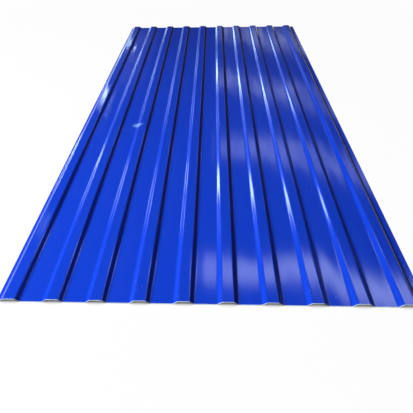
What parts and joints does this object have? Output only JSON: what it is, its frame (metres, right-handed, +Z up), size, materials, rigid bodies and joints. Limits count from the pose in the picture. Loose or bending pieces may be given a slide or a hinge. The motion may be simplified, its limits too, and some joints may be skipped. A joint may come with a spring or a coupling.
{
  "type": "corrugated metal sheet",
  "caption": "Blue-coated steel roofing sheet with low trapezoidal ribs along its whole length, wide flat pans between them and a narrow flat lip at each side for lapping.",
  "frame": {"origin": "centre of the sheet, on the level of the pans' undersides that it lies on", "axes": "+X across the ribs, +Y along the ribs (the sheet's length), +Z up, out of the weather side"},
  "size_m": [1.0664, 2.44, 0.0089],
  "materials": {
    "blue_coil_coat": "gloss"
  },
  "bodies": {
    "root": {"corrugated_sheet": "blue_coil_coat"}
  },
  "joints": []
}
